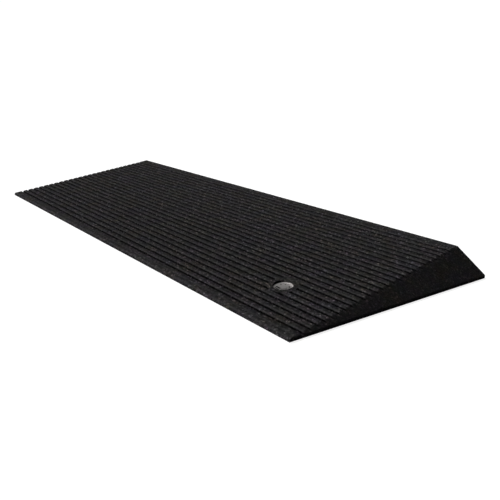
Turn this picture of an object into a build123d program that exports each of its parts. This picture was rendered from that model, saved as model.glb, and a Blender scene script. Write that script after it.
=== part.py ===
from build123d import *
import os
from math import atan2, cos, degrees, sin

# A low rubber threshold ramp for a doorway: one solid moulding of bonded crumb rubber with a
# ribbed top and a flared bevel on each side, and a round metal badge glued in a recess near
# the front right corner. Millimetres. +X to the right, +Y towards the door sill, +Z up.
# The origin is on the floor, under the middle of the overall footprint.

# Body
TOP_WIDTH = 914.4  # usable width of the ribbed top, the same at the front and at the sill
DEPTH = 355.6  # from the front edge to the upright back wall
RISE = 38.1  # height of the back wall
RIM_HEIGHT = 5.0  # upright rim along the front and under both side bevels
BEVEL_RUN_PER_RISE = 1.5  # how far a side bevel runs out for each unit that it drops
FRONT_ROUND = 3.4  # rounding of the front edge
BACK_ROUND = 1.2  # rounding of the edge that meets the door sill

# Grooves across the slope, measured along it from the front edge
GROOVE_COUNT = 26
FIRST_GROOVE = 19.3
GROOVE_PITCH = 12.56
GROOVE_MOUTH = 4.6  # between the rib corners, before they are rounded
GROOVE_FLOOR = 3.6
GROOVE_DEPTH = 3.6
DOWNHILL_ROUND = 1.8  # on the edge of each rib that faces down the slope
UPHILL_ROUND = 0.6  # on its other edge
FLOOR_ROUND = 0.6

# Badge, with its place on the slope
BADGE_X = 352.8
BADGE_UP_SLOPE = 90.0
LAND_RADIUS = 22.5  # smooth round land where the grooves stop
RECESS_RADIUS = 14.9
PAD_RADIUS = 13.0
PAD_THICKNESS = 0.8
DISC_RADIUS = 14.5
DISC_THICKNESS = 1.6
DISC_SUNK = 2.6  # from the rib tops down to the disc's rim
DISC_EDGE_ROUND = 0.4
DISC_RIM_WIDTH = 1.1
DISC_RIM_STEP = 0.35  # the face inside the rim starts this much lower
DISC_DISH = 0.55  # and its middle lies this much lower again

# Worked out from the sizes above
FRONT_Y = -DEPTH / 2
BACK_Y = DEPTH / 2
CLIMB = RISE - RIM_HEIGHT
SLOPE = atan2(CLIMB, DEPTH)
FRONT_HALF = TOP_WIDTH / 2
BACK_HALF = FRONT_HALF + CLIMB * BEVEL_RUN_PER_RISE
RECESS_DEPTH = DISC_SUNK + DISC_THICKNESS + PAD_THICKNESS
OVERSIZE = 20.0  # how far a cutting solid reaches past what it cuts
CLOSE = 0.01  # corners nearer than this to a line are taken to be on it


def slope_point(up_slope):
    """The Y and Z of the rib tops at a distance up the slope."""
    return (FRONT_Y + up_slope * cos(SLOPE), RIM_HEIGHT + up_slope * sin(SLOPE))


def badge_plane():
    """A plane on the rib tops under the badge's centre, with its Z out of the slope."""
    y, z = slope_point(BADGE_UP_SLOPE)
    return Plane(origin=(BADGE_X, y, z), x_dir=(1, 0, 0), z_dir=(0, -sin(SLOPE), cos(SLOPE)))


def groove(up_slope):
    """One groove, open at the top, drawn on the ramp's side view."""
    mouth = GROOVE_MOUTH / 2
    floor = GROOVE_FLOOR / 2
    outline = Polyline(
        (mouth, GROOVE_DEPTH),
        (-mouth, GROOVE_DEPTH),
        (-mouth, 0),
        (-floor, -GROOVE_DEPTH),
        (floor, -GROOVE_DEPTH),
        (mouth, 0),
        close=True,
    )
    return Pos(*slope_point(up_slope)) * Rot(0, 0, degrees(SLOPE)) * make_face(outline)


def depth_under_ribs(corner):
    """How far a corner of the side view lies under the line of the rib tops."""
    line_height = RIM_HEIGHT + (corner.X - FRONT_Y) * CLIMB / DEPTH
    return (line_height - corner.Y) * cos(SLOPE)


def rib_corners(view, side):
    """The rib corners above each groove, with side 1, or below it, with side -1."""
    found = []
    for corner in view.vertices():
        up_slope = (corner.X - FRONT_Y) / cos(SLOPE)
        number = round((up_slope - FIRST_GROOVE) / GROOVE_PITCH)
        from_middle = up_slope - FIRST_GROOVE - number * GROOVE_PITCH
        at_mouth = abs(from_middle - side * GROOVE_MOUTH / 2) < CLOSE
        if at_mouth and abs(depth_under_ribs(corner)) < CLOSE:
            found.append(corner)
    return found


def side_view():
    """The wedge with its grooves, seen from the right, with Y across and Z up."""
    view = make_face(
        Polyline((FRONT_Y, 0), (BACK_Y, 0), (BACK_Y, RISE), (FRONT_Y, RIM_HEIGHT), close=True)
    )
    for number in range(GROOVE_COUNT):
        view = view - groove(FIRST_GROOVE + number * GROOVE_PITCH)
    floors = [c for c in view.vertices() if abs(depth_under_ribs(c) - GROOVE_DEPTH) < CLOSE]
    view = fillet(floors, FLOOR_ROUND)
    for end, radius in ((FRONT_Y, FRONT_ROUND), (BACK_Y, BACK_ROUND)):
        top = [c for c in view.vertices() if abs(c.X - end) < CLOSE and c.Y > CLOSE]
        view = fillet(top, radius)
    view = fillet(rib_corners(view, 1), DOWNHILL_ROUND)
    return fillet(rib_corners(view, -1), UPHILL_ROUND)


def ribbed_wedge():
    """The side view stretched across more than the widest part of the ramp."""
    half = BACK_HALF + OVERSIZE
    across = Plane(origin=(-half, 0, 0), x_dir=(0, 1, 0), z_dir=(1, 0, 0))
    return extrude(across * side_view(), 2 * half)


def footprint():
    """The ramp's outline on the floor: a trapezoid, widest at the door sill."""
    outline = Polyline(
        (-FRONT_HALF, FRONT_Y),
        (FRONT_HALF, FRONT_Y),
        (BACK_HALF, BACK_Y),
        (-BACK_HALF, BACK_Y),
        close=True,
    )
    return extrude(make_face(outline), RISE + OVERSIZE)


def above_bevel():
    """All that lies above the right-hand side bevel."""
    top_front = Vector(FRONT_HALF, FRONT_Y, RIM_HEIGHT)
    top_back = Vector(FRONT_HALF, BACK_Y, RISE)
    foot_back = Vector(BACK_HALF, BACK_Y, RIM_HEIGHT)
    up_edge = top_back - top_front
    outward = (foot_back - top_back).cross(up_edge).normalized()
    reach = 3 * DEPTH
    block = Box(reach, reach, RISE + OVERSIZE, align=(Align.CENTER, Align.CENTER, Align.MIN))
    return Plane(origin=top_front, x_dir=up_edge, z_dir=outward) * block


def ramp_body():
    """The rubber moulding, with the badge's round land and recess."""
    land = Cylinder(
        LAND_RADIUS,
        GROOVE_DEPTH + PAD_THICKNESS,
        align=(Align.CENTER, Align.CENTER, Align.MAX),
    )
    recess = Cylinder(RECESS_RADIUS, 2 * RECESS_DEPTH)
    body = ribbed_wedge() + badge_plane() * land
    body = body - badge_plane() * recess
    body = body & footprint()
    body = body - above_bevel()
    return body - mirror(above_bevel(), about=Plane.YZ)


def badge_disc():
    """A metal disc with a low rim round its slightly dished face."""
    lower = -DISC_SUNK - DISC_THICKNESS
    disc = Cylinder(
        DISC_RADIUS, DISC_THICKNESS, align=(Align.CENTER, Align.CENTER, Align.MIN)
    )
    face_radius = DISC_RADIUS - DISC_RIM_WIDTH
    depth = DISC_RIM_STEP + DISC_DISH
    ball_radius = (face_radius**2 + DISC_DISH**2) / (2 * DISC_DISH)
    face = Cylinder(face_radius, depth, align=(Align.CENTER, Align.CENTER, Align.MIN))
    face = face & Pos(0, 0, ball_radius) * Sphere(ball_radius)
    disc = fillet(disc.edges().group_by(Axis.Z)[-1], DISC_EDGE_ROUND)
    disc = disc - Pos(0, 0, DISC_THICKNESS - depth) * face
    return badge_plane() * Pos(0, 0, lower) * disc


def badge_adhesive_pad():
    """The thin double-sided pad that holds the disc in its recess."""
    pad = Cylinder(PAD_RADIUS, PAD_THICKNESS, align=(Align.CENTER, Align.CENTER, Align.MIN))
    return badge_plane() * Pos(0, 0, -RECESS_DEPTH) * pad


os.makedirs("parts", exist_ok=True)
for name, shape in (
    ("ramp_body", ramp_body()),
    ("badge_disc", badge_disc()),
    ("badge_adhesive_pad", badge_adhesive_pad()),
):
    export_step(shape, f"parts/{name}.step")
    print(name, round(shape.volume, 1), shape.bounding_box())
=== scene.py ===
import math

import bmesh
import bpy
from mathutils import Matrix, Vector, noise


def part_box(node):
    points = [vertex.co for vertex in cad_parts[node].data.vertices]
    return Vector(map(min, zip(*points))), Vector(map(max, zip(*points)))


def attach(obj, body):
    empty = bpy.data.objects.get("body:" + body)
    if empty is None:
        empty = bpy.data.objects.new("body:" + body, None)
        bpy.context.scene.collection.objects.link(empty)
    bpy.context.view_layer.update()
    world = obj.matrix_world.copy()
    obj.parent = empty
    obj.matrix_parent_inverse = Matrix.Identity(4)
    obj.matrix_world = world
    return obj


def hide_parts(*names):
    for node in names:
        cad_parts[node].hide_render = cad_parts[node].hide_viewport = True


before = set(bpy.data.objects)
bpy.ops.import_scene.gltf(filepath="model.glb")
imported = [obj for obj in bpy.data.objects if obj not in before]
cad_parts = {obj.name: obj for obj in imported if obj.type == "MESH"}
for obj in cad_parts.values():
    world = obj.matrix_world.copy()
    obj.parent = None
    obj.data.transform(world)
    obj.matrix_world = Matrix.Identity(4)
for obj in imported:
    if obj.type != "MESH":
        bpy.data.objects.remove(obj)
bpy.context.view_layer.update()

MM = 0.001
TOUCHING = 1e-6  # metres; points nearer than this are taken to meet

# The ramp, from the frame and the mould's own sizes
LOW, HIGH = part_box("ramp_body")
FRONT_Y, BACK_Y = LOW.y, HIGH.y
BACK_HALF = HIGH.x
FRONT_HALF = 457.2 * MM
RISE = 38.1 * MM
RIM_HEIGHT = 5.0 * MM
SLOPE = math.atan2(RISE - RIM_HEIGHT, BACK_Y - FRONT_Y)
SLOPE_LENGTH = math.hypot(RISE - RIM_HEIGHT, BACK_Y - FRONT_Y)

# The grooves, measured along the slope from the front edge
GROOVE_COUNT = 26
FIRST_GROOVE = 19.3 * MM
GROOVE_PITCH = 12.56 * MM
GROOVE_MOUTH = 4.6 * MM
GROOVE_FLOOR = 3.6 * MM
GROOVE_DEPTH = 3.6 * MM
DOWNHILL_ROUND = 1.8 * MM  # the edge of each rib that faces down the slope is well rounded
UPHILL_ROUND = 0.6 * MM
FLOOR_ROUND = 0.5 * MM

# The body's other edges
NOSE_ROUND = 3.4 * MM
SILL_ROUND = 1.2 * MM
RIDGE_REACH = 0.6 * MM  # how near a ridge a point must be to be softened
RIDGE_SOFTNESS = 0.12

# The badge: its CAD disc gives its place
DISC_LOW, DISC_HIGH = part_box("badge_disc")
BADGE_X = (DISC_LOW.x + DISC_HIGH.x) / 2
DISC_RADIUS = (DISC_HIGH.x - DISC_LOW.x) / 2
BADGE_UP_SLOPE = 90.0 * MM
LAND_RADIUS = 22.5 * MM
LAND_PROUD = 0.03 * MM  # keeps the land's face off the rib tops, so that the two join cleanly
RECESS_RADIUS = 14.9 * MM
RECESS_DEPTH = 5.0 * MM
DISC_SUNK = 2.6 * MM
DISC_THICKNESS = 1.6 * MM

# The body's mesh
PRISM_OVERSIZE = 10 * MM  # how far the first prism reaches past the ramp's widest part
LAND_ROOT = 1 * MM  # how far the land reaches under the groove floors
RECESS_TOOL_TOP = 5 * MM  # how far the tool that cuts the recess stands out of the slope
ENDS_CLEAR = 5 * MM  # no groove lies nearer than this to either end of the slope
COLUMN = 4.3 * MM  # spacing of the cuts across the ramp
BAND_STEP = 3 * MM  # up the plain bands at the front and the back
RIB_STEP = 2.2 * MM  # up each rib
BEVEL_STEP = 4 * MM  # up the side bevels
BEVEL_FOOT = 0.9 * MM  # one cut this near their foot keeps the turn there crisp
ROUND_STEPS = 72  # sides of the round land and recess
BODY_SHARP = math.radians(27)  # edges that turn by more than this are shaded sharp
DISC_SHARP = math.radians(35)

# The surface's relief: size and height of each kind, and a shift so that they do not line up
MOUNDS = (9 * MM, 0.07 * MM, Vector((0, 0, 0)))
CRUMBS = (2.6 * MM, 0.12 * MM, Vector((31, 7, 3)))
PITS = (4.5 * MM, 0.9 * MM, Vector((5, 71, 9)))
PIT_LEVEL = 0.35  # a pit starts where the noise rises past this

# Where the rubber is worn and painted lighter as a highlight, and where it is painted darker:
# middle and width of each band
RIB_WEAR_AND_HIGHLIGHT = (GROOVE_MOUTH / 2 + 1.0 * MM, 1.5 * MM)  # from the middle of the groove below
NOSE_WEAR_AND_HIGHLIGHT = (1.5 * MM, 2.0 * MM)  # up the slope
# The plain front band is made darker.
FRONT_DARK_BAND = (9 * MM, 4.5 * MM)  # up the slope
FRONT_DARKNESS = 1.6
GROOVE_SHADE_DEPTH = (0.5 * MM, 1.3 * MM)  # painted shade darkens a groove's walls from this depth, over this much
RIDGE_WEAR = 0.2
RIDGE_WEAR_REACH = 1.5 * MM
TOP_DEPTH = 1.2 * MM  # points no deeper than this count as being on the ribs

# Camera
CAMERA_PLACE = (861.9 * MM, -583.6 * MM, 319.8 * MM)
CAMERA_AZIMUTH = math.radians(49.49)
CAMERA_ELEVATION = math.radians(19.81)
CAMERA_LENS = 40.16
SENSOR_WIDTH = 36


# ---------------------------------------------------------------- places on the slope

def on_slope(x, up_slope, out=0.0):
    """The point at x, a distance up the slope, and a height out of the rib tops."""
    return Vector((
        x,
        FRONT_Y + up_slope * math.cos(SLOPE) - out * math.sin(SLOPE),
        RIM_HEIGHT + up_slope * math.sin(SLOPE) + out * math.cos(SLOPE),
    ))


def slope_frame(x, up_slope, out=0.0):
    """A frame on the slope: local X across, local Y up the slope, local Z out of it."""
    return Matrix.Translation(on_slope(x, up_slope, out)) @ Matrix.Rotation(SLOPE, 4, "X")


UP_SLOPE = Vector((0, math.cos(SLOPE), math.sin(SLOPE)))
OUT_OF_SLOPE = Vector((0, -math.sin(SLOPE), math.cos(SLOPE)))


# ---------------------------------------------------------------- making pieces

def new_piece(name, bm, material, smooth=True):
    """Turn a bmesh into an object at the origin, with its place in its mesh."""
    mesh = bpy.data.meshes.new(name)
    bm.to_mesh(mesh)
    bm.free()
    piece = bpy.data.objects.new(name, mesh)
    bpy.context.scene.collection.objects.link(piece)
    if material:
        mesh.materials.append(material)
    for face in mesh.polygons:
        face.use_smooth = smooth
    return piece


def bevel(bm, edges, width, segments):
    bmesh.ops.bevel(
        bm, geom=edges, offset=width, affect="EDGES", segments=segments, profile=0.5,
        material=-1, clamp_overlap=True,
    )


# ---------------------------------------------------------------- the ramp's body

def groove_corners(middle):
    """The four corners of one groove's section, up the slope, on the rib-top line."""
    mouth, floor = GROOVE_MOUTH / 2, GROOVE_FLOOR / 2
    return [
        on_slope(0, middle - mouth),
        on_slope(0, middle - floor, -GROOVE_DEPTH),
        on_slope(0, middle + floor, -GROOVE_DEPTH),
        on_slope(0, middle + mouth),
    ]


def ribbed_prism():
    """The side outline stretched across more than the ramp's widest part."""
    bm = bmesh.new()
    reach = BACK_HALF + PRISM_OVERSIZE
    corners = [Vector((0, FRONT_Y, 0)), on_slope(0, 0)]
    for number in range(GROOVE_COUNT):
        corners += groove_corners(FIRST_GROOVE + number * GROOVE_PITCH)
    corners += [on_slope(0, SLOPE_LENGTH), Vector((0, BACK_Y, 0))]
    side = bm.faces.new([bm.verts.new(c + Vector((-reach, 0, 0))) for c in corners])
    moved = bmesh.ops.extrude_face_region(bm, geom=[side])
    bmesh.ops.translate(
        bm, vec=(2 * reach, 0, 0),
        verts=[v for v in moved["geom"] if isinstance(v, bmesh.types.BMVert)],
    )
    bmesh.ops.recalc_face_normals(bm, faces=bm.faces[:])
    return bm


def long_edges(bm, test):
    """The edges that run right across the ramp and pass a test on their place."""
    found = []
    for edge in bm.edges:
        a, b = (v.co for v in edge.verts)
        if abs(a.x - b.x) > BACK_HALF and test(a):
            found.append(edge)
    return found


def depth_under_ribs(point):
    """How far a point lies under the rib tops, square to the slope."""
    return -(point - on_slope(0, 0)).dot(OUT_OF_SLOPE)


def up_slope_of(point):
    """How far up the slope a point lies from the front edge."""
    return (point - on_slope(0, 0)).dot(UP_SLOPE)


def place_in_pitch(point):
    """How far up the slope a point is from the middle of its nearest groove."""
    return (up_slope_of(point) - FIRST_GROOVE + GROOVE_PITCH / 2) % GROOVE_PITCH - GROOVE_PITCH / 2


def round_section(bm):
    """Round the ribs, the groove floors and the two long edges of the top."""
    near = 0.05 * MM

    def on_rib(p):
        clear = ENDS_CLEAR < up_slope_of(p) < SLOPE_LENGTH - ENDS_CLEAR
        return clear and abs(depth_under_ribs(p)) < near

    def on_downhill_side(p):
        return on_rib(p) and place_in_pitch(p) > 0

    def on_uphill_side(p):
        return on_rib(p) and place_in_pitch(p) < 0

    def on_floor(p):
        return abs(depth_under_ribs(p) - GROOVE_DEPTH) < near and up_slope_of(p) > ENDS_CLEAR

    def on_nose(p):
        return abs(p.y - FRONT_Y) < near and p.z > near

    def on_sill(p):
        return abs(p.y - BACK_Y) < near and p.z > near

    bevel(bm, long_edges(bm, on_downhill_side), DOWNHILL_ROUND, segments=4)
    bevel(bm, long_edges(bm, on_uphill_side), UPHILL_ROUND, segments=2)
    bevel(bm, long_edges(bm, on_floor), FLOOR_ROUND, segments=1)
    bevel(bm, long_edges(bm, on_nose), NOSE_ROUND, segments=5)
    bevel(bm, long_edges(bm, on_sill), SILL_ROUND, segments=2)


def cylinder_on_slope(radius, low, high, segments):
    """A closed cylinder on the badge's centre, from one height out of the slope to another."""
    bm = bmesh.new()
    bmesh.ops.create_cone(
        bm, cap_ends=True, segments=segments, radius1=radius, radius2=radius,
        depth=high - low,
        matrix=slope_frame(BADGE_X, BADGE_UP_SLOPE, (low + high) / 2),
    )
    return bm


def combine(name, body, tool, operation):
    """Boolean one bmesh with another and give the result back as a bmesh."""
    base = new_piece(name + "_base", body, None, smooth=False)
    cutter = new_piece(name + "_tool", tool, None, smooth=False)
    step = base.modifiers.new("combine", "BOOLEAN")
    step.operation = operation
    step.solver = "EXACT"
    step.object = cutter
    shaped = bpy.data.meshes.new_from_object(
        base.evaluated_get(bpy.context.evaluated_depsgraph_get())
    )
    bm = bmesh.new()
    bm.from_mesh(shaped)
    for piece in (base, cutter):
        mesh = piece.data
        bpy.data.objects.remove(piece)
        bpy.data.meshes.remove(mesh)
    bpy.data.meshes.remove(shaped)
    return bm


def close_holes(bm):
    """Cap every open loop with one flat face."""
    bmesh.ops.holes_fill(bm, edges=[e for e in bm.edges if e.is_boundary], sides=0)


def cut_side(bm, side):
    """Cut one end of the prism to its side bevel and to the upright rim under it."""
    ridge_front = Vector((side * FRONT_HALF, FRONT_Y, RIM_HEIGHT))
    ridge_back = Vector((side * FRONT_HALF, BACK_Y, RISE))
    foot_back = Vector((side * BACK_HALF, BACK_Y, RIM_HEIGHT))
    bevel_out = (foot_back - ridge_back).cross(ridge_back - ridge_front) * side
    rim_out = (foot_back - ridge_front).cross(Vector((0, 0, 1))) * side
    for outward in (rim_out, bevel_out):
        bmesh.ops.bisect_plane(
            bm, geom=bm.verts[:] + bm.edges[:] + bm.faces[:], dist=TOUCHING,
            plane_co=ridge_front, plane_no=outward, clear_outer=True,
        )
        close_holes(bm)


def is_underside(face):
    return face.normal.z < -0.9


def lies_past(item, place, direction):
    """True when any part of a vertex, edge or face lies past a plane."""
    verts = [item] if isinstance(item, bmesh.types.BMVert) else item.verts
    return any((v.co - place).dot(direction) > TOUCHING for v in verts)


def slice_up(bm, places, direction):
    """Cut all but the underside with parallel planes, in order along a direction."""
    faces = [f for f in bm.faces if not is_underside(f)]
    edges = {e for f in faces for e in f.edges}
    verts = {v for f in faces for v in f.verts}
    rest = list(verts) + list(edges) + faces
    for place in places:
        cut = bmesh.ops.bisect_plane(
            bm, geom=rest, dist=TOUCHING, plane_co=place, plane_no=direction,
        )
        rest = [g for g in cut["geom"] if g.is_valid and lies_past(g, place, direction)]


def steps(low, high, size):
    """Evenly spaced values strictly between two ends."""
    count = max(1, round((high - low) / size))
    return [low + (high - low) * n / count for n in range(1, count)]


def dice(bm):
    """Divide the long faces so that the crumb surface can be worked into them."""
    rib_low = GROOVE_MOUTH / 2 + DOWNHILL_ROUND
    rib_high = GROOVE_PITCH - GROOVE_MOUTH / 2 - UPHILL_ROUND
    ups = steps(NOSE_ROUND, FIRST_GROOVE - BAND_STEP, BAND_STEP)
    for number in range(GROOVE_COUNT - 1):
        groove = FIRST_GROOVE + number * GROOVE_PITCH
        ups += [groove + up for up in steps(rib_low, rib_high, RIB_STEP)]
    last = FIRST_GROOVE + (GROOVE_COUNT - 1) * GROOVE_PITCH
    ups += steps(last + BAND_STEP, SLOPE_LENGTH - BAND_STEP / 2, BAND_STEP)
    slice_up(bm, [on_slope(0, up) for up in ups], UP_SLOPE)
    across = steps(-BACK_HALF, BACK_HALF, COLUMN)
    slice_up(bm, [Vector((x, 0, 0)) for x in across], Vector((1, 0, 0)))
    levels = [RIM_HEIGHT + BEVEL_FOOT] + steps(RIM_HEIGHT, RISE, BEVEL_STEP)
    slice_up(bm, [Vector((0, 0, z)) for z in levels], Vector((0, 0, 1)))


def near_line(point, start, end, reach):
    """True when a point lies within reach of a line."""
    along = (end - start).normalized()
    return ((point - start) - (point - start).dot(along) * along).length < reach


def ridge_lines():
    """The two ends' ridges: over each bevel, down its back edge and along its rim."""
    lines = []
    for side in (-1, 1):
        ridge_front = Vector((side * FRONT_HALF, FRONT_Y, RIM_HEIGHT))
        ridge_back = Vector((side * FRONT_HALF, BACK_Y, RISE))
        foot_back = Vector((side * BACK_HALF, BACK_Y, RIM_HEIGHT))
        lines += [(ridge_front, ridge_back), (ridge_front, foot_back), (ridge_back, foot_back)]
    return lines


def soften_ridges(bm):
    """Round the ridges over the side bevels and round their rims, as moulding leaves them."""
    lines = ridge_lines()
    soft = [v for v in bm.verts if any(near_line(v.co, a, b, RIDGE_REACH) for a, b in lines)]
    bmesh.ops.smooth_vert(
        bm, verts=soft, factor=RIDGE_SOFTNESS, use_axis_x=True, use_axis_y=True, use_axis_z=True,
    )


def bump_at(value, middle, width):
    """A smooth hill of height 1 round a middle."""
    return math.exp(-((value - middle) / width) ** 2)


def mark_edges(bm):
    """Store where the rubber is worn and painted lighter, where it is smoother and where it is
    painted darker.

    "edge" is high on the downhill edges of the ribs and on the front edge, as wear and a painted
    highlight, "skin" is 1 on the side bevels and their rims, and the darkening value is high in the
    grooves, as painted shade, and on the plain front band, which it makes darker.
    """
    edge_mask = bm.verts.layers.float.new("edge")
    skin = bm.verts.layers.float.new("skin")
    groove_shade_front_dark = bm.verts.layers.float.new("groove_shade_front_dark")
    ridges = ridge_lines()
    for vert in bm.verts:
        vert[skin] = float(abs(vert.co.x) > FRONT_HALF + 0.5 * MM)
        on_wall = vert.normal.z < 0.1 and vert.co.z > 8 * MM
        at_ground = vert.co.z < 1 * MM
        if on_wall or at_ground:
            continue
        deep = depth_under_ribs(vert.co)
        up_slope = up_slope_of(vert.co)
        on_top = not vert[skin]
        if on_top:
            # Painted shade in the grooves: the deeper a point lies, the darker.
            vert[groove_shade_front_dark] = min(1.0, max(0.0, (deep - GROOVE_SHADE_DEPTH[0]) / GROOVE_SHADE_DEPTH[1]))
        if deep < TOP_DEPTH:
            # Worn edges, also painted lighter as a highlight: the downhill rib edges and the nose.
            rib = bump_at(place_in_pitch(vert.co), *RIB_WEAR_AND_HIGHLIGHT)
            vert[edge_mask] = max(rib, bump_at(up_slope, *NOSE_WEAR_AND_HIGHLIGHT))
            # The plain front band is made darker.
            if on_top:
                vert[groove_shade_front_dark] += FRONT_DARKNESS * bump_at(up_slope, *FRONT_DARK_BAND)
        if any(near_line(vert.co, a, b, RIDGE_WEAR_REACH) for a, b in ridges):
            vert[edge_mask] = max(vert[edge_mask], RIDGE_WEAR)


def relief_at(point, size, height, shift):
    """How far one kind of relief lifts the surface at a point."""
    return noise.noise(point / size + shift) * height


def roughen(bm):
    """Press the crumb into the surface: low mounds and small pits."""
    bm.normal_update()
    pit_size, pit_depth, pit_shift = PITS
    moves = {}
    for vert in bm.verts:
        if vert.co.z < 0.5 * MM:
            continue
        lift = relief_at(vert.co, *MOUNDS) + relief_at(vert.co, *CRUMBS)
        past = max(0.0, noise.noise(vert.co / pit_size + pit_shift) - PIT_LEVEL)
        moves[vert] = vert.normal * (lift - past * pit_depth)
    for vert, move in moves.items():
        vert.co += move


def make_body(material):
    """The rubber moulding: shape it, divide it, mark its wear, painted highlight and painted shade,
    and roughen it.
    """
    bm = ribbed_prism()
    round_section(bm)
    land = cylinder_on_slope(LAND_RADIUS, -GROOVE_DEPTH - LAND_ROOT, LAND_PROUD, ROUND_STEPS)
    bm = combine("land", bm, land, "UNION")
    recess = cylinder_on_slope(RECESS_RADIUS, -RECESS_DEPTH, RECESS_TOOL_TOP, ROUND_STEPS)
    bm = combine("recess", bm, recess, "DIFFERENCE")
    for side in (-1, 1):
        cut_side(bm, side)
    dice(bm)
    soften_ridges(bm)
    bm.normal_update()
    mark_edges(bm)
    roughen(bm)
    body = new_piece("ramp_rubber", bm, material)
    body.data.set_sharp_from_angle(angle=BODY_SHARP)
    return body


# ---------------------------------------------------------------- finishes

def new_node(tree, kind, inputs=None, **settings):
    """Add a shader node, set its own settings, and fill or link its inputs by name."""
    made = tree.nodes.new(kind)
    for name, value in settings.items():
        setattr(made, name, value)
    for name, value in (inputs or {}).items():
        socket = made.inputs[name]
        if isinstance(value, bpy.types.NodeSocket):
            tree.links.new(value, socket)
        else:
            socket.default_value = value
    return made


def attribute(tree, name):
    """A value that a piece stores at each vertex."""
    return new_node(tree, "ShaderNodeAttribute", attribute_name=name).outputs["Fac"]


def ramp_of(tree, factor, stops):
    """A colour ramp through (place, colour) stops."""
    made = new_node(tree, "ShaderNodeValToRGB", {"Fac": factor})
    elements = made.color_ramp.elements
    while len(elements) < len(stops):
        elements.new(0.5)
    for element, (place, colour) in zip(elements, stops):
        element.position = place
        element.color = (*colour, 1)
    return made.outputs["Color"]


def math_of(tree, operation, *values, clamp=False):
    """One sum on values or sockets."""
    made = tree.nodes.new("ShaderNodeMath")
    made.operation = operation
    made.use_clamp = clamp
    for socket, value in zip(made.inputs, values):
        if isinstance(value, bpy.types.NodeSocket):
            tree.links.new(value, socket)
        else:
            socket.default_value = value
    return made.outputs["Value"]


def mix_colours(tree, blend, factor, first, second):
    """Blend two colours, each a value or a socket."""
    made = tree.nodes.new("ShaderNodeMix")
    made.data_type = "RGBA"
    made.blend_type = blend
    factor_in, first_in, second_in = made.inputs[0], made.inputs[6], made.inputs[7]
    for socket, value in ((factor_in, factor), (first_in, first), (second_in, second)):
        if isinstance(value, bpy.types.NodeSocket):
            tree.links.new(value, socket)
        else:
            socket.default_value = value
    return made.outputs[2]


def new_group(name, inputs, outputs):
    """An empty shader group with named inputs (name, kind, default) and outputs (name, kind)."""
    group = bpy.data.node_groups.new(name, "ShaderNodeTree")
    for label, kind, default in inputs:
        socket = group.interface.new_socket(label, in_out="INPUT", socket_type="NodeSocket" + kind)
        if default is not None:
            socket.default_value = default
    for label, kind in outputs:
        group.interface.new_socket(label, in_out="OUTPUT", socket_type="NodeSocket" + kind)
    return group, group.nodes.new("NodeGroupInput"), group.nodes.new("NodeGroupOutput")


def crumb_group():
    """Rubber crumb packed side by side: a tone for each crumb, a tint, gaps and a height."""
    group, given, result = new_group(
        "rubber crumb",
        [("Vector", "Vector", None), ("Crumb Size", "Float", 2.0 * MM)],
        [("Tone", "Float"), ("Tint", "Color"), ("Gap", "Float"), ("Height", "Float")],
    )
    scale = math_of(group, "DIVIDE", 1.0, given.outputs["Crumb Size"])
    cells = new_node(
        group, "ShaderNodeTexVoronoi",
        {"Vector": given.outputs["Vector"], "Scale": scale, "Randomness": 1.0},
        feature="F1",
    )
    edges = new_node(
        group, "ShaderNodeTexVoronoi",
        {"Vector": given.outputs["Vector"], "Scale": scale, "Randomness": 1.0},
        feature="DISTANCE_TO_EDGE",
    )
    split = new_node(group, "ShaderNodeSeparateColor", {"Color": cells.outputs["Color"]})
    gap = new_node(
        group, "ShaderNodeMapRange",
        {
            "Value": edges.outputs["Distance"], "From Min": 0.0, "From Max": 0.12,
            "To Min": 1.0, "To Max": 0.0,
        },
    )
    height = math_of(group, "SUBTRACT", split.outputs["Green"], gap.outputs["Result"])
    group.links.new(split.outputs["Red"], result.inputs["Tone"])
    group.links.new(cells.outputs["Color"], result.inputs["Tint"])
    group.links.new(gap.outputs["Result"], result.inputs["Gap"])
    group.links.new(height, result.inputs["Height"])
    return group


def new_material(name):
    material = bpy.data.materials.new(name)
    material.use_nodes = True
    tree = material.node_tree
    return material, tree, tree.nodes["Principled BSDF"]


def set_bump(tree, shader, strength, distance, height):
    bump = new_node(
        tree, "ShaderNodeBump", {"Strength": strength, "Distance": distance, "Height": height}
    )
    tree.links.new(bump.outputs["Normal"], shader.inputs["Normal"])


def place_group(tree, group, inputs):
    """Add a shared group, fill or link its inputs, and give its outputs."""
    made = tree.nodes.new("ShaderNodeGroup")
    made.node_tree = group
    for name, value in inputs.items():
        if isinstance(value, bpy.types.NodeSocket):
            tree.links.new(value, made.inputs[name])
        else:
            made.inputs[name].default_value = value
    return made.outputs


def edge_patch_group():
    """A patchy mask where a piece's edge attribute is high: wear and a painted highlight on the
    rubber, a tarnished rim on the metal.
    """
    group, given, result = new_group(
        "patchy edge mask",
        [("Vector", "Vector", None), ("Patch Size", "Float", 10 * MM), ("Amount", "Float", 0.5)],
        [("Mask", "Float")],
    )
    edge_mask = attribute(group, "edge")
    scale = math_of(group, "DIVIDE", 1.0, given.outputs["Patch Size"])
    patches = new_node(
        group, "ShaderNodeTexNoise",
        {"Vector": given.outputs["Vector"], "Scale": scale, "Detail": 4.0, "Roughness": 0.7},
    )
    broken = new_node(
        group, "ShaderNodeMapRange",
        {"Value": patches.outputs["Fac"], "From Min": 0.2, "From Max": 0.7},
    )
    patchy_edge = math_of(group, "MULTIPLY", edge_mask, broken.outputs["Result"])
    mask = math_of(group, "MULTIPLY", patchy_edge, given.outputs["Amount"], clamp=True)
    group.links.new(mask, result.inputs["Mask"])
    return group


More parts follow.
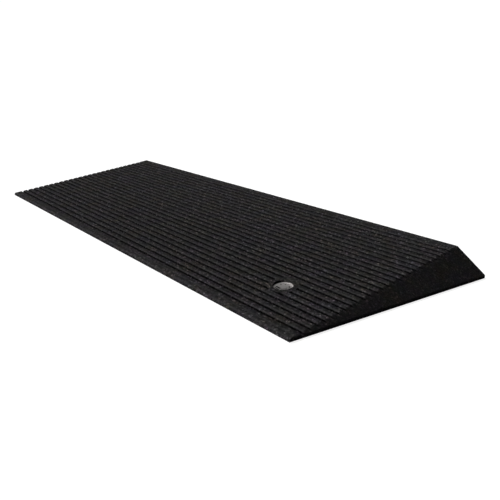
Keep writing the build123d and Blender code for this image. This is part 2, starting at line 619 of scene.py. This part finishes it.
def dust_group():
    """A thin dust that settles on faces that look up, in drifts."""
    group, given, result = new_group(
        "settled dust",
        [("Vector", "Vector", None), ("Drift Size", "Float", 60 * MM), ("Amount", "Float", 0.1)],
        [("Mask", "Float")],
    )
    normal = group.nodes.new("ShaderNodeNewGeometry").outputs["Normal"]
    up = new_node(group, "ShaderNodeSeparateXYZ", {"Vector": normal}).outputs["Z"]
    flat = new_node(
        group, "ShaderNodeMapRange", {"Value": up, "From Min": 0.4, "From Max": 1.0}
    ).outputs["Result"]
    scale = math_of(group, "DIVIDE", 1.0, given.outputs["Drift Size"])
    drifts = new_node(
        group, "ShaderNodeTexNoise",
        {"Vector": given.outputs["Vector"], "Scale": scale, "Detail": 8.0, "Roughness": 0.75},
    ).outputs["Fac"]
    lying = math_of(group, "MULTIPLY", flat, drifts)
    mask = math_of(group, "MULTIPLY", lying, given.outputs["Amount"], clamp=True)
    group.links.new(mask, result.inputs["Mask"])
    return group


def grain_group():
    """A fine, even grain: a height and a value, at one size."""
    group, given, result = new_group(
        "fine grain",
        [("Vector", "Vector", None), ("Grain Size", "Float", 0.5 * MM)],
        [("Value", "Float"), ("Height", "Float")],
    )
    scale = math_of(group, "DIVIDE", 1.0, given.outputs["Grain Size"])
    grain = new_node(
        group, "ShaderNodeTexNoise",
        {"Vector": given.outputs["Vector"], "Scale": scale, "Detail": 2.0, "Roughness": 0.6},
    ).outputs["Fac"]
    group.links.new(grain, result.inputs["Value"])
    height = math_of(group, "SUBTRACT", grain, 0.5)
    group.links.new(height, result.inputs["Height"])
    return group


CRUMB = crumb_group()
EDGE_PATCHES = edge_patch_group()
DUST = dust_group()
GRAIN = grain_group()


def grey(level):
    return (level, level, level)


def drift_of(tree, where, scale, detail, roughness, stops):
    """A tint that drifts slowly over a piece, through (place, colour) stops."""
    drift = new_node(tree, "ShaderNodeTexNoise", {
        "Vector": where, "Scale": scale, "Detail": detail, "Roughness": roughness,
    })
    return ramp_of(tree, drift.outputs["Fac"], stops)


def make_rubber():
    """Black rubber crumb pressed and bonded: mottled, matt, a little polished and painted lighter
    on the rib edges, with painted shade in the grooves.
    """
    material, tree, shader = new_material("moulded crumb rubber")
    where = tree.nodes.new("ShaderNodeTexCoord").outputs["Object"]
    crumb = place_group(tree, CRUMB, {"Vector": where, "Crumb Size": 2.6 * MM})
    small = place_group(tree, CRUMB, {"Vector": where, "Crumb Size": 1.2 * MM})
    grain = place_group(tree, GRAIN, {"Vector": where, "Grain Size": 0.6 * MM})
    wear_and_highlight = place_group(tree, EDGE_PATCHES, {"Vector": where, "Patch Size": 14 * MM, "Amount": 0.75})
    dust = place_group(tree, DUST, {"Vector": where, "Drift Size": 70 * MM, "Amount": 0.02})
    tone = ramp_of(tree, crumb["Tone"], [
        (0.0, grey(0.0100)), (0.4, grey(0.0158)), (0.7, grey(0.0245)), (0.9, grey(0.038)),
        (1.0, grey(0.088)),
    ])
    small_tone = ramp_of(tree, small["Tone"], [
        (0.0, grey(0.3)), (0.6, grey(0.5)), (1.0, grey(0.72)),
    ])
    skin = math_of(tree, "MULTIPLY", attribute(tree, "skin"), 0.7)
    tone = mix_colours(tree, "MIX", skin, tone, (*grey(0.0215), 1))
    tinted = mix_colours(tree, "OVERLAY", 1.0, tone, small_tone)
    crumb_tint = mix_colours(tree, "MIX", 0.05, (*grey(0.5), 1), crumb["Tint"])
    tinted = mix_colours(tree, "OVERLAY", 1.0, tinted, crumb_tint)
    tinted = mix_colours(tree, "OVERLAY", 1.0, tinted, drift_of(tree, where, 28.0, 4.0, 0.65, [
        (0.38, (0.50, 0.48, 0.58)), (0.46, (0.505, 0.49, 0.53)),
        (0.54, (0.51, 0.505, 0.495)), (0.62, (0.54, 0.515, 0.44)),
    ]))
    tinted = mix_colours(tree, "OVERLAY", 1.0, tinted, drift_of(tree, where, 45.0, 3.0, 0.6, [
        (0.4, (0.545, 0.485, 0.51)), (0.6, (0.48, 0.51, 0.50)),
    ]))
    gaps = math_of(tree, "MULTIPLY", crumb["Gap"], 0.55)
    colour = mix_colours(tree, "MIX", gaps, tinted, (*grey(0.005), 1))
    # Painted shade: the groove walls are painted darker, more so deeper down; the plain front band
    # is made darker as well.
    groove_shade_front_dark = math_of(tree, "MULTIPLY", attribute(tree, "groove_shade_front_dark"), 0.2)
    colour = mix_colours(tree, "MIX", groove_shade_front_dark, colour, (*grey(0.007), 1))
    # Wear that is also a painted highlight: the downhill rib edges and the nose are painted lighter
    # in patches.
    colour = mix_colours(tree, "MIX", wear_and_highlight["Mask"], colour, (0.036, 0.035, 0.036, 1))
    colour = mix_colours(tree, "MIX", dust["Mask"], colour, (0.30, 0.28, 0.26, 1))
    tree.links.new(colour, shader.inputs["Base Color"])
    shader.inputs["Specular IOR Level"].default_value = 0.015
    rough = math_of(tree, "MULTIPLY_ADD", crumb["Tone"], -0.12, 0.95)
    polished = math_of(tree, "MULTIPLY_ADD", wear_and_highlight["Mask"], -0.25, rough)
    tree.links.new(polished, shader.inputs["Roughness"])
    height = math_of(tree, "MULTIPLY_ADD", small["Height"], 0.45, crumb["Height"])
    height = math_of(tree, "MULTIPLY_ADD", grain["Height"], 0.5, height)
    set_bump(tree, shader, 1.0, 0.14 * MM, height)
    return material


BRUSHED_RINGS = 9000.0  # how fast the brushing changes outwards, per metre
BRUSHED_ARCS = 2.0  # and round the disc, per radian


def make_metal():
    """Metal brushed in circles, with a tarnished rim and a trace of dust."""
    material, tree, shader = new_material("brushed badge metal")
    where = tree.nodes.new("ShaderNodeTexCoord").outputs["Object"]
    middle = on_slope(BADGE_X, BADGE_UP_SLOPE, -DISC_SUNK)
    local = new_node(
        tree, "ShaderNodeMapping",
        {"Vector": where, "Location": middle, "Rotation": (SLOPE, 0, 0)}, vector_type="TEXTURE",
    ).outputs["Vector"]
    parts = new_node(tree, "ShaderNodeSeparateXYZ", {"Vector": local}).outputs
    radius = new_node(tree, "ShaderNodeVectorMath", {0: local}, operation="LENGTH").outputs["Value"]
    turn = math_of(tree, "ARCTAN2", parts["Y"], parts["X"])
    rings = new_node(
        tree, "ShaderNodeCombineXYZ",
        {
            "X": math_of(tree, "MULTIPLY", radius, BRUSHED_RINGS),
            "Y": math_of(tree, "MULTIPLY", turn, BRUSHED_ARCS),
        },
    ).outputs["Vector"]
    brushing = new_node(
        tree, "ShaderNodeTexNoise", {"Vector": rings, "Scale": 1.0, "Detail": 3.0, "Roughness": 0.7}
    ).outputs["Fac"]
    grain = place_group(tree, GRAIN, {"Vector": where, "Grain Size": 0.8 * MM})
    tarnish = place_group(tree, EDGE_PATCHES, {"Vector": where, "Patch Size": 9 * MM, "Amount": 1.0})
    dust = place_group(tree, DUST, {"Vector": where, "Drift Size": 9 * MM, "Amount": 0.35})
    metal = ramp_of(tree, brushing, [
        (0.25, (0.345, 0.33, 0.322)), (0.75, (0.49, 0.47, 0.46)),
    ])
    metal = mix_colours(tree, "MIX", tarnish["Mask"], metal, (0.11, 0.105, 0.10, 1))
    colour = mix_colours(tree, "MIX", dust["Mask"], metal, (0.19, 0.16, 0.14, 1))
    tree.links.new(colour, shader.inputs["Base Color"])
    shader.inputs["Metallic"].default_value = 1.0
    rough = math_of(tree, "MULTIPLY_ADD", brushing, 0.14, 0.21)
    rough = math_of(tree, "MULTIPLY_ADD", dust["Mask"], 0.3, rough)
    rough = math_of(tree, "MULTIPLY_ADD", attribute(tree, "edge"), 0.5, rough)
    tree.links.new(rough, shader.inputs["Roughness"])
    height = math_of(tree, "MULTIPLY_ADD", grain["Height"], 0.4, brushing)
    set_bump(tree, shader, 0.5, 0.02 * MM, height)
    return material


def make_enamel():
    """Dark fill in the disc's engraved marks."""
    material, tree, shader = new_material("dark enamel")
    where = tree.nodes.new("ShaderNodeTexCoord").outputs["Object"]
    grain = place_group(tree, GRAIN, {"Vector": where, "Grain Size": 0.7 * MM})
    dust = place_group(tree, DUST, {"Vector": where, "Drift Size": 6 * MM, "Amount": 0.05})
    fill = ramp_of(tree, grain["Value"], [
        (0.3, (0.012, 0.012, 0.013)), (0.7, (0.022, 0.021, 0.021)),
    ])
    colour = mix_colours(tree, "MIX", dust["Mask"], fill, (0.16, 0.15, 0.14, 1))
    tree.links.new(colour, shader.inputs["Base Color"])
    rough = math_of(tree, "MULTIPLY_ADD", grain["Value"], 0.2, 0.5)
    tree.links.new(rough, shader.inputs["Roughness"])
    shader.inputs["Specular IOR Level"].default_value = 0.12
    return material


def make_foam():
    """Grey closed-cell foam of the adhesive pad."""
    material, tree, shader = new_material("adhesive foam")
    where = tree.nodes.new("ShaderNodeTexCoord").outputs["Object"]
    cells = place_group(tree, CRUMB, {"Vector": where, "Crumb Size": 0.5 * MM})
    foam = ramp_of(tree, cells["Tone"], [(0.0, grey(0.09)), (1.0, grey(0.14))])
    gaps = math_of(tree, "MULTIPLY", cells["Gap"], 0.5)
    colour = mix_colours(tree, "MIX", gaps, foam, (*grey(0.05), 1))
    tree.links.new(colour, shader.inputs["Base Color"])
    shader.inputs["Roughness"].default_value = 0.9
    set_bump(tree, shader, 0.6, 0.05 * MM, cells["Height"])
    return material


# ---------------------------------------------------------------- the badge

def spun(section, sides):
    """Turn an open section of (radius, height) points, from axis to axis, right round the axis."""
    bm = bmesh.new()
    corners = [bm.verts.new((radius, 0, height)) for radius, height in section]
    edges = [bm.edges.new(pair) for pair in zip(corners, corners[1:])]
    bmesh.ops.spin(
        bm, geom=corners + edges, cent=(0, 0, 0), axis=(0, 0, 1), angle=2 * math.pi, steps=sides,
        use_merge=True, use_duplicate=False,
    )
    bmesh.ops.remove_doubles(bm, verts=bm.verts[:], dist=TOUCHING)
    bmesh.ops.recalc_face_normals(bm, faces=bm.faces[:])
    return bm


def set_on_slope(bm, height):
    """Move a badge piece from the origin to its place, at a height out of the rib tops."""
    bmesh.ops.transform(bm, matrix=slope_frame(BADGE_X, BADGE_UP_SLOPE, height), verts=bm.verts[:])


PAD_RADIUS = 13.0 * MM
PAD_SQUEEZE = 0.2 * MM
DISC_CORNER = 0.4 * MM
RIM_WIDTH = 1.1 * MM
RIM_STEP = 0.35 * MM
RIM_SLANT = (0.25 * MM, 0.2 * MM)  # the rim's inner side: width at the top, and height and foot
DISH = 0.55 * MM  # how much the face is hollowed
DISC_WEAR = (0.8 * MM, 0.9 * MM)  # in from the rim, and how wide
RING = (9.6 * MM, 10.2 * MM)  # the engraved ring, from its inner to its outer radius
ENGRAVED = 0.25 * MM
MARK_FOOT = -1.3 * MM  # the enamel's lower side, inside the disc
MARK_PROUD = 0.04 * MM  # how far it stands out of the face
# The plain marks, in millimetres on the face: start, end and width
MARKS = (
    ((-9.2, -5.4), (0.4, -5.8), 3.0),
    ((-7.6, -9.2), (1.0, -9.6), 2.0),
    ((2.1, -7.0), (7.3, -1.0), 1.6),
    ((4.8, 6.4), (8.2, 4.0), 1.8),
    ((-8.5, 2.4), (-7.0, 3.2), 2.0),
    ((-4.0, 6.8), (-2.3, 7.2), 2.0),
    ((5.2, 0.2), (6.4, 1.4), 1.6),
)


def face_height(radius):
    """The dished face, below the rim's top."""
    return -RIM_STEP - DISH * (1 - (radius / (DISC_RADIUS - RIM_WIDTH)) ** 2)


def make_disc(material):
    """The metal disc: flat back, rounded edge, raised rim, an engraved ring and a shallow dish."""
    flat = DISC_RADIUS - DISC_CORNER
    profile = [(0.0, -DISC_THICKNESS), (flat, -DISC_THICKNESS)]
    profile += [(DISC_RADIUS, -DISC_THICKNESS + DISC_CORNER), (DISC_RADIUS, -DISC_CORNER)]
    for part in range(1, 5):
        turn = part / 4 * math.pi / 2
        out, up = DISC_CORNER * math.cos(turn), DISC_CORNER * math.sin(turn)
        profile.append((flat + out, -DISC_CORNER + up))
    inner = DISC_RADIUS - RIM_WIDTH
    top_slant, low_slant = RIM_SLANT
    profile += [(inner + top_slant, 0.0), (inner, -low_slant)]
    profile += [(inner - low_slant, face_height(inner))]
    profile += [(radius, face_height(radius)) for radius in (11.6 * MM, RING[1])]
    profile += [(radius, face_height(radius) - ENGRAVED) for radius in (RING[1], RING[0])]
    inside = [RING[0]] + [radius * MM for radius in (8, 6, 4, 2, 0)]
    profile += [(radius, face_height(radius)) for radius in inside]
    bm = spun(profile, sides=96)
    edge_mask = bm.verts.layers.float.new("edge")
    for vert in bm.verts:
        radius = math.hypot(vert.co.x, vert.co.y)
        vert[edge_mask] = bump_at(radius, DISC_RADIUS - DISC_WEAR[0], DISC_WEAR[1])
    set_on_slope(bm, -DISC_SUNK)
    disc = new_piece("badge_face", bm, material)
    disc.data.set_sharp_from_angle(angle=DISC_SHARP)
    return disc


def add_bar(bm, start, end, width):
    """A straight bar of enamel, from one place on the face to another, that follows the dish."""
    parts = 8
    start, end = Vector(start) * MM, Vector(end) * MM
    along = (end - start).normalized()
    across = Vector((-along.y, along.x)) * width / 2
    rows = []
    for part in range(parts + 1):
        middle = start.lerp(end, part / parts)
        left, right = middle + across, middle - across
        corners = [(right, MARK_FOOT), (left, MARK_FOOT)]
        corners += [(p, face_height(p.length) + MARK_PROUD) for p in (left, right)]
        rows.append([bm.verts.new((p.x, p.y, height)) for p, height in corners])
    for one, other in zip(rows, rows[1:]):
        for n in range(4):
            bm.faces.new((one[n], other[n], other[(n + 1) % 4], one[(n + 1) % 4]))
    bm.faces.new(rows[0])
    bm.faces.new(rows[-1])


def make_marks(material):
    """Plain enamel in the face: bars and dots that stand for nothing."""
    bm = bmesh.new()
    for start, end, width in MARKS:
        add_bar(bm, start, end, width * MM)
    bmesh.ops.recalc_face_normals(bm, faces=bm.faces[:])
    set_on_slope(bm, -DISC_SUNK)
    return new_piece("badge_marks", bm, material, smooth=False)


def make_pad(material):
    """The adhesive pad under the disc, with a slightly squeezed edge."""
    low = -RECESS_DEPTH
    high = -DISC_SUNK - DISC_THICKNESS
    middle = (low + high) / 2
    inner = PAD_RADIUS - PAD_SQUEEZE
    profile = [(0, low), (inner, low), (PAD_RADIUS, middle), (inner, high), (0, high)]
    bm = spun(profile, sides=64)
    set_on_slope(bm, 0.0)
    return new_piece("badge_pad", bm, material)


def add(piece, slot, *nodes):
    """Put a finished piece on the ramp, in the place of its CAD nodes."""
    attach(piece, "root")
    if nodes:
        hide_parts(*nodes)


add(make_body(make_rubber()), "crumb_rubber", "ramp_body")
add(make_disc(make_metal()), "badge_metal", "badge_disc")
add(make_marks(make_enamel()), "badge_metal")
add(make_pad(make_foam()), "adhesive_pad", "badge_adhesive_pad")


# ---------------------------------------------------------------- studio

FLOOR_HALF = 30.0  # metres
FLOOR_GLOW = 0.8  # lifts the floor to white for the camera only
WORLD_FILL = 0.035
CARD_SIZE = (2.2, 1.3)  # metres
CARD_DISTANCE = 3.0
CARD_ENERGY = 10.8
CARD_COLOUR = (0.96, 0.98, 1.0)


def make_floor():
    """A floor that takes shadows and looks white to the camera."""
    bm = bmesh.new()
    bmesh.ops.create_grid(bm, x_segments=1, y_segments=1, size=FLOOR_HALF)
    material, tree, shader = new_material("studio floor")
    shader.inputs["Base Color"].default_value = (0.35, 0.35, 0.35, 1)
    shader.inputs["Roughness"].default_value = 1.0
    shader.inputs["Specular IOR Level"].default_value = 0.0
    glow = new_node(tree, "ShaderNodeEmission", {"Color": (1, 1, 1, 1)})
    path = tree.nodes.new("ShaderNodeLightPath")
    strength = math_of(tree, "MULTIPLY", path.outputs["Is Camera Ray"], FLOOR_GLOW)
    tree.links.new(strength, glow.inputs["Strength"])
    both = tree.nodes.new("ShaderNodeAddShader")
    tree.links.new(shader.outputs["BSDF"], both.inputs[0])
    tree.links.new(glow.outputs["Emission"], both.inputs[1])
    tree.links.new(both.outputs["Shader"], tree.nodes["Material Output"].inputs["Surface"])
    floor = new_piece("floor", bm, material)


def place_lamp(light, azimuth, elevation, target, distance):
    """Aim a light at a target. Azimuth 0 is on the right and 90 behind the ramp, in degrees."""
    turn, rise = math.radians(azimuth), math.radians(elevation)
    towards = Vector((
        math.cos(turn) * math.cos(rise), math.sin(turn) * math.cos(rise), math.sin(rise)
    ))
    lamp = bpy.data.objects.new(light.name, light)
    lamp.location = target + distance * towards
    lamp.rotation_euler = towards.to_track_quat("Z", "Y").to_euler()
    bpy.context.scene.collection.objects.link(lamp)


def far_light(name, azimuth, elevation, spread, strength):
    """A soft light far away, as wide as its spread in degrees."""
    sun = bpy.data.lights.new(name, "SUN")
    sun.energy = strength
    sun.angle = math.radians(spread)
    place_lamp(sun, azimuth, elevation, target=Vector((0, 0, 0)), distance=0)


def card_behind():
    """A white card behind the ramp, above the frame, for the metal to reflect."""
    card = bpy.data.lights.new("card behind", "AREA")
    card.shape = "RECTANGLE"
    card.size, card.size_y = CARD_SIZE
    card.energy = CARD_ENERGY
    card.color = CARD_COLOUR
    badge = on_slope(BADGE_X, BADGE_UP_SLOPE)
    place_lamp(card, azimuth=140, elevation=55, target=badge, distance=CARD_DISTANCE)


def make_studio():
    """The floor, a high soft light on the left, a low one in front, a card and a white world."""
    make_floor()
    far_light("left softbox", azimuth=184, elevation=48, spread=30, strength=2.68)
    far_light("low front strip", azimuth=258, elevation=2.5, spread=8, strength=4.3)
    card_behind()
    world = bpy.data.worlds.new("studio")
    world.use_nodes = True
    tree = world.node_tree
    path = tree.nodes.new("ShaderNodeLightPath")
    strength = math_of(tree, "ADD", path.outputs["Is Camera Ray"], WORLD_FILL)
    tree.links.new(strength, tree.nodes["Background"].inputs["Strength"])
    tree.nodes["Background"].inputs["Color"].default_value = (1, 1, 1, 1)
    bpy.context.scene.world = world


def make_camera():
    lens = bpy.data.cameras.new("camera")
    lens.lens = CAMERA_LENS
    lens.sensor_width = SENSOR_WIDTH
    lens.clip_start = 0.01
    camera = bpy.data.objects.new("camera", lens)
    camera.location = CAMERA_PLACE
    camera.rotation_euler = (math.pi / 2 - CAMERA_ELEVATION, 0, CAMERA_AZIMUTH)
    bpy.context.scene.collection.objects.link(camera)
    bpy.context.scene.camera = camera


make_studio()
make_camera()
bpy.context.scene.view_settings.view_transform = "Standard"
